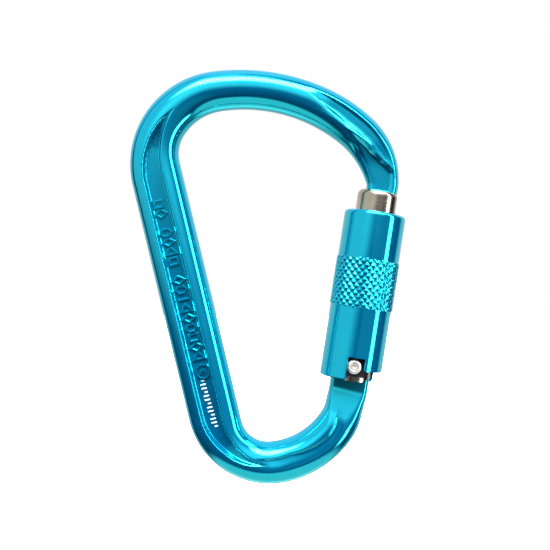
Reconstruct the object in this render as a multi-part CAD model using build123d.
from build123d import *
from math import cos, radians, sin
import os

# Auto-locking pear carabiner, in millimetres.
# X points from the spine to the gate, -Y is the front face and Z points up, towards the wide end.
# The origin is where a rope bears on the wide end: the highest point of the loop's inside.

# ---- driving dimensions -------------------------------------------------------------------
FRAME_THICKNESS = 10.6        # front to back of the forged bar
FRAME_EDGE_RADIUS = 4.4       # rounding of the bar's edges
SPINE_ANGLE = 103.5           # heading of the spine from +X, going up
SPINE_OUTER = (-22.67, -53.4) # datum on the spine's outer side
SPINE_INNER = (-7.98, -52.93) # datum on the spine's inner side
# both sides of the bar, up and down from the datums: (length, None) or (radius, turn in degrees)
OUTER_UP = [(32.4, None), (26.4, -95.8), (60.4, -31.8), (45.6, -19.9), (23.4, -51.5)]
INNER_UP = [(39.0, None), (9.9, -46.4), (15.1, -48.7), (43.3, -46.4), (23.6, -37.0)]
OUTER_DOWN = [(35.6, None), (23.4, 90.2), (30.5, 38.6), (19.2, 23.5), (8.9, None)]
INNER_DOWN = [(36.4, None), (7.5, 81.3), (19.4, 53.3), (6.6, 18.7), (4.9, None)]
FLANGE_OUTER = 3.9            # outer flange of the spine's I-section
GROOVE_WIDTH = 5.7            # web of the I-section
GROOVE_DEPTH = 2.5
GROOVE_OUTER_RUN = (-30, 29)  # straight part of the groove's outer side, along the spine
GROOVE_INNER_RUN = (-32, 26)
GROOVE_TIPS = ((-18.4, -0.6), (7.1, -99.6))
SHOULDER_ENDS = ((17.0, 6.6), (43.2, -16.2))
SHOULDER_MIDDLES = ((36.0, -4.2), (32.4, -5.9))
SHOULDER_DEPTH = 0.9

PIVOT = (31.65, 0.0, -72.21)  # hinge axis of the gate
GATE_TILT = 8.87              # lean of the gate towards +X, from the vertical
GATE_RADIUS = 5.75
GATE_BOTTOM = -4.2            # all gate heights are measured from the hinge, along the gate
GATE_TOP = 49.5
GATE_TOP_ROUND = 1.6
TONGUE_THICKNESS = 4.8        # flat parts of the frame inside the gate's two forks
FORK_GAP = 5.4
FORK_CEILING = 6.2
FORK_CORNER = 3.4
HEAD_SLOT_FROM = -4.1         # the head's slot is open on the outer side
NOSE_END = 44.35              # lowest point of the nose inside the gate
NOSE_SLOT_FLOOR = 43.85
CHEEK_TOP = 57.0              # where the nose's flat cheeks meet the round bar
CHEEK_SLANT = 36.0
CHEEK_BOTTOM = -8.6           # the same at the hinge
CHEEK_REACH = 9.0             # past the bar's faces
BLADE_SIDES = (-3.5, 5.1)     # nose blade, across the gate
BLADE_LENGTH = 8.5
TONGUE_HALF_OUTLINE = [(5.2, -9.5), (5.5, 1.0), (3.4, 4.4)]

RIVET_RADIUS = 1.5
RIVET_HEAD_RADIUS = 1.95
RIVET_HEAD_REACH = 7.7        # rivet end from the gate's axis
RIVET_HOLE_RADIUS = 1.56      # in the frame's tongue, a running fit
RIVET_CHAMFER = 0.3

SLEEVE_RADIUS = 8.6
SLEEVE_BOTTOM = -3.9
SLEEVE_TOP = 43.2
SLEEVE_TOP_ROUND = 1.0
SLEEVE_BORE = 7.1
SLEEVE_LIP_BORE = 5.9
SLEEVE_LIP = 1.5
SKIRT_BORE = 8.0              # counterbore that the rivet's ends sweep in
SKIRT_TOP = 3.0
RIB_BORE = 6.3                # inner rib that the follower ring rests on
RIB_TOP = 8.0
RIB_HEIGHT = 1.4
SHORT_EDGE = -0.9             # bottom edge on the sleeve's outer side
SHORT_FROM, SHORT_TO = 12.0, 124.0   # degrees from the front, towards the outer side
NOTCH_WIDTH = 4.9
NOTCH_TOP = 2.5
NOTCH_SHIFT = 0.35            # notch centre from the rivet, towards the outer side

BUSH_RADIUS = 6.9
BUSH_BOTTOM, BUSH_TOP = -0.6, 6.2
BUSH_SLOT_TOP, BUSH_SLOT_HALF = 3.0, 3.0
BUSH_TAB_BOTTOM, BUSH_TAB_HALF = -2.8, 3.6   # tab round each rivet head
RING_INNER, RING_OUTER = 5.95, 6.9
SNAP_GROOVE_RADIUS = 5.3
SNAP_BOTTOM, SNAP_TOP = 40.3, 41.3

PLUNGER_RADIUS = 2.3
PLUNGER_BOTTOM, PLUNGER_TOP = 4.55, 11.4
BORE_RADIUS = 2.4
PLUNGER_STEM_RADIUS, PLUNGER_STEM = 1.2, 2.0
BORE_TOP = 30.0


# ---- helpers ------------------------------------------------------------------------------
def chain(start, heading, stretches):
    """Tangent run of lines and arcs in the X-Z plane: (length, None) or (radius, turn).

    A positive turn is to the left, in degrees. Returns the edges and the last point and heading.
    """
    edges = []
    point = Vector(*start)
    for size, turn in stretches:
        direction = Vector(cos(radians(heading)), sin(radians(heading)))
        if turn is None:
            edge = Line(point, point + direction * size)
        else:
            edge = JernArc(point, direction, size, turn)
            heading += turn
        edges.append(edge)
        point = edge @ 1
    return edges, point, heading


def plate(sketch, half_thickness):
    """Extrude a sketch, drawn with x = X and y = Z, the same distance to the front and back."""
    return extrude(Plane.XZ * sketch, amount=half_thickness, both=True)


def on_gate(shape):
    """Place a shape drawn about the gate's own axis, with the hinge at its origin."""
    return Pos(*PIVOT) * Rot(0, GATE_TILT, 0) * shape


def tube(outer, inner, bottom, top):
    """Upright ring between two heights."""
    centre = Pos(0, 0, (bottom + top) / 2)
    ring = Cylinder(outer, top - bottom)
    if inner > 0:
        ring -= Cylinder(inner, top - bottom)
    return centre * ring


def slab(x_range, y_range, z_range):
    """Box between three pairs of limits."""
    low, high = zip(x_range, y_range, z_range)
    size = [b - a for a, b in zip(low, high)]
    middle = [(a + b) / 2 for a, b in zip(low, high)]
    return Pos(*middle) * Box(*size)


def coil(radius, wire, bottom, top, turns):
    """Open helical spring of round wire, its wire's centre running from bottom to top."""
    path = Helix(pitch=(top - bottom) / turns, height=top - bottom, radius=radius)
    section = Plane(origin=path @ 0, z_dir=path % 0) * Circle(wire / 2)
    return Pos(0, 0, bottom) * sweep(section, path=path)


# ---- frame --------------------------------------------------------------------------------
def frame_outline():
    """Closed outline of the bar, from the nose round the spine to the hinge end."""
    outer_up, nose_out, _ = chain(SPINE_OUTER, SPINE_ANGLE, OUTER_UP)
    inner_up, nose_in, _ = chain(SPINE_INNER, SPINE_ANGLE, INNER_UP)
    outer_down, foot_out, _ = chain(SPINE_OUTER, SPINE_ANGLE + 180, OUTER_DOWN)
    inner_down, foot_in, _ = chain(SPINE_INNER, SPINE_ANGLE + 180, INNER_DOWN)
    ends = [Line(nose_out, nose_in), Line(foot_out, foot_in)]
    return make_face(outer_up + inner_up + outer_down + inner_down + ends)


def spine_groove():
    """Long leaf-shaped groove that gives the spine its I-section, drawn in X-Z."""
    along = Vector(cos(radians(SPINE_ANGLE)), sin(radians(SPINE_ANGLE)))
    across = Vector(along.Y, -along.X)
    outer = Vector(*SPINE_OUTER) + across * FLANGE_OUTER
    inner = outer + across * GROOVE_WIDTH
    top_tip, bottom_tip = Vector(*GROOVE_TIPS[0]), Vector(*GROOVE_TIPS[1])
    edges = []
    for start, (low, high) in ((outer, GROOVE_OUTER_RUN), (inner, GROOVE_INNER_RUN)):
        side = Line(start + along * low, start + along * high)
        edges.append(side)
        edges.append(TangentArc(side @ 1, top_tip, tangent=along))
        edges.append(TangentArc(side @ 0, bottom_tip, tangent=-along))
    return make_face(edges)


def shoulder_groove():
    """Short pointed groove on the outer side of the bend above the nose, drawn in X-Z."""
    start, end = SHOULDER_ENDS
    return make_face([ThreePointArc(start, middle, end) for middle in SHOULDER_MIDDLES])


def frame_body():
    half = FRAME_THICKNESS / 2
    body = plate(frame_outline(), half)
    rims = body.edges().filter_by(lambda e: abs(abs(e.center().Y) - half) < 0.01)
    body = fillet(rims, FRAME_EDGE_RADIUS)
    for side in (-1, 1):
        for sketch, depth in ((spine_groove(), GROOVE_DEPTH), (shoulder_groove(), SHOULDER_DEPTH)):
            cut = plate(sketch, depth)
            body -= Pos(0, side * half, 0) * cut
    # flat cheeks at the nose and at the hinge, milled from both faces
    flat = TONGUE_THICKNESS / 2
    nose_cut = Rot(0, CHEEK_SLANT, 0) * slab((-13, 12), (flat, CHEEK_REACH), (-30, 0))
    nose_cut = Pos(0, 0, CHEEK_TOP) * nose_cut
    hinge_cut = slab((-12, 12), (flat, CHEEK_REACH), (CHEEK_BOTTOM, 20))
    for cut in (nose_cut, hinge_cut):
        body -= on_gate(cut) + on_gate(mirror(cut, Plane.XZ))
    return body + nose_blade() + hinge_tongue()


def nose_blade():
    """Flat nose that enters the slot in the gate's head."""
    inner, outer = BLADE_SIDES
    top = NOSE_END + BLADE_LENGTH
    corners = [(inner, top), (inner, NOSE_END), (outer, NOSE_END), (outer, top)]
    rounded = FilletPolyline(*corners, radius=1.0)
    outline = make_face(rounded.edges() + [Line(corners[-1], corners[0])])
    return on_gate(plate(outline, TONGUE_THICKNESS / 2))


def hinge_tongue():
    """Flat tongue between the gate's forks, with the rivet's hole and a cam edge on top."""
    other_half = [(-x, z) for x, z in reversed(TONGUE_HALF_OUTLINE)]
    outline = make_face(Polyline(*TONGUE_HALF_OUTLINE, *other_half, close=True))
    hole = Rot(90, 0, 0) * Cylinder(RIVET_HOLE_RADIUS, 20)
    return on_gate(plate(outline, TONGUE_THICKNESS / 2) - hole)


# ---- gate ---------------------------------------------------------------------------------
def gate_arm():
    """Round gate: slotted head for the nose, blind bore for its spring and a fork at the hinge."""
    arm = tube(GATE_RADIUS, 0, GATE_BOTTOM, GATE_TOP)
    top_edge = arm.edges().sort_by(Axis.Z)[-1]
    arm = fillet(top_edge, GATE_TOP_ROUND)
    gap = FORK_GAP / 2
    arm -= slab((HEAD_SLOT_FROM, 9), (-gap, gap), (NOSE_SLOT_FLOOR, GATE_TOP + 1))
    arm -= slab((-9, 9), (-gap, gap), (GATE_BOTTOM - 1, FORK_CEILING))
    arm -= tube(BORE_RADIUS, 0, FORK_CEILING - 1, BORE_TOP)
    arm -= tube(GATE_RADIUS + 1, SNAP_GROOVE_RADIUS, SNAP_BOTTOM - 0.05, SNAP_TOP + 0.05)
    arm -= Rot(90, 0, 0) * Cylinder(RIVET_RADIUS, 20)
    for side in (-1, 1):
        middle, level = side * (GATE_RADIUS - FORK_CORNER), GATE_BOTTOM + FORK_CORNER
        corner = Plane.XZ * Pos(middle, level) * Circle(FORK_CORNER)
        block = slab(sorted((middle, side * 9)), (-9, 9), (GATE_BOTTOM - 1, level))
        arm -= block - extrude(corner, amount=9, both=True)
    return arm


def hinge_rivet():
    """Rivet through forks and tongue; its two heads stand out into the sleeve's notches."""
    rivet = Rot(90, 0, 0) * Cylinder(RIVET_RADIUS, 2 * RIVET_HEAD_REACH)
    under_head = GATE_RADIUS + 0.1
    for side in (-1, 1):
        head = Rot(90, 0, 0) * Cylinder(RIVET_HEAD_RADIUS, RIVET_HEAD_REACH - under_head)
        rivet += Pos(0, side * (RIVET_HEAD_REACH + under_head) / 2, 0) * head
    ends = rivet.edges().filter_by(lambda e: abs(abs(e.center().Y) - RIVET_HEAD_REACH) < 0.01)
    return chamfer(ends, RIVET_CHAMFER)


def guide_bush():
    """Nylon bush on the gate's forks: the sleeve's lower end slides and turns on it."""
    bore = GATE_RADIUS + 0.05
    tabs = tube(BUSH_RADIUS, bore, BUSH_TAB_BOTTOM, BUSH_BOTTOM)
    tabs &= slab((-BUSH_TAB_HALF, BUSH_TAB_HALF), (-9, 9), (BUSH_TAB_BOTTOM, BUSH_BOTTOM))
    bush = tube(BUSH_RADIUS, bore, BUSH_BOTTOM, BUSH_TOP) + tabs
    slot = (-BUSH_SLOT_HALF, BUSH_SLOT_HALF)
    bush -= slab((-9, 9), slot, (BUSH_TAB_BOTTOM - 1, BUSH_SLOT_TOP))
    return bush - Rot(90, 0, 0) * Cylinder(RIVET_HEAD_RADIUS + 0.05, 20)


def gate_plunger():
    """Pin in the gate's bore that presses on the tongue's cam edge."""
    shoulder = PLUNGER_TOP - PLUNGER_STEM
    pin = tube(PLUNGER_RADIUS, 0, PLUNGER_BOTTOM, shoulder)
    return pin + tube(PLUNGER_STEM_RADIUS, 0, shoulder, PLUNGER_TOP)


def snap_ring():
    """Split ring in the gate's groove."""
    ring = tube(RING_OUTER - 0.1, SNAP_GROOVE_RADIUS + 0.02, SNAP_BOTTOM, SNAP_TOP)
    return ring - slab((0, 9), (-1.4, 1.4), (SNAP_BOTTOM - 1, SNAP_TOP + 1))


# ---- sleeve -------------------------------------------------------------------------------
def sector(radius, start, end, bottom, top):
    """Pie-shaped block between two angles from the front, counted towards the outer side."""
    steps = 6
    angles = [start + (end - start) * i / steps for i in range(steps + 1)]
    rim = [(radius * sin(radians(a)), -radius * cos(radians(a))) for a in angles]
    outline = make_face(Polyline((0, 0), *rim, close=True))
    return Pos(0, 0, bottom) * extrude(outline, amount=top - bottom)


def locking_sleeve():
    """Sleeve that lifts and turns on the gate, with a stepped bottom edge and two notches."""
    shell = tube(SLEEVE_RADIUS, 0, SLEEVE_BOTTOM, SLEEVE_TOP)
    shell = fillet(shell.edges().sort_by(Axis.Z)[-1], SLEEVE_TOP_ROUND)
    shell -= tube(SLEEVE_LIP_BORE, 0, SLEEVE_TOP - SLEEVE_LIP - 1, SLEEVE_TOP + 1)
    shell -= tube(SLEEVE_BORE, 0, RIB_TOP, SLEEVE_TOP - SLEEVE_LIP)
    shell -= tube(RIB_BORE, 0, RIB_TOP - RIB_HEIGHT - 1, RIB_TOP + 1)
    shell -= tube(SLEEVE_BORE, 0, SKIRT_TOP - 1, RIB_TOP - RIB_HEIGHT)
    shell -= tube(SKIRT_BORE, 0, SLEEVE_BOTTOM - 1, SKIRT_TOP)
    shell -= sector(14, SHORT_FROM, SHORT_TO, SLEEVE_BOTTOM - 1, SHORT_EDGE)
    half = NOTCH_WIDTH / 2
    for side in (-1, 1):
        middle = -side * NOTCH_SHIFT
        wall = sorted((0, side * 12))
        shell -= slab((middle - half, middle + half), wall, (SLEEVE_BOTTOM - 1, NOTCH_TOP))
    return shell


# ---- parts --------------------------------------------------------------------------------
RINGS_AND_SPRINGS = {
    "spring_washer": lambda: tube(RING_OUTER, RING_INNER - 0.1, 39.4, 40.2),
    "sleeve_spring": lambda: coil(6.45, 0.8, 9.7, 38.9, 10),
    "follower_ring": lambda: tube(RING_OUTER, RING_INNER, RIB_TOP + 0.02, 9.2),
    "gate_spring": lambda: coil(1.8, 0.6, 9.75, BORE_TOP - 0.4, 10),
}


def main():
    os.makedirs("parts", exist_ok=True)
    parts = {"frame": frame_body()}
    on_gate_axis = {
        "gate_arm": gate_arm,
        "hinge_rivet": hinge_rivet,
        "guide_bush": guide_bush,
        "gate_plunger": gate_plunger,
        "snap_ring": snap_ring,
        "locking_sleeve": locking_sleeve,
        **RINGS_AND_SPRINGS,
    }
    for name, build in on_gate_axis.items():
        parts[name] = on_gate(build())
    for name, shape in parts.items():
        export_step(shape, f"parts/{name}.step")


main()
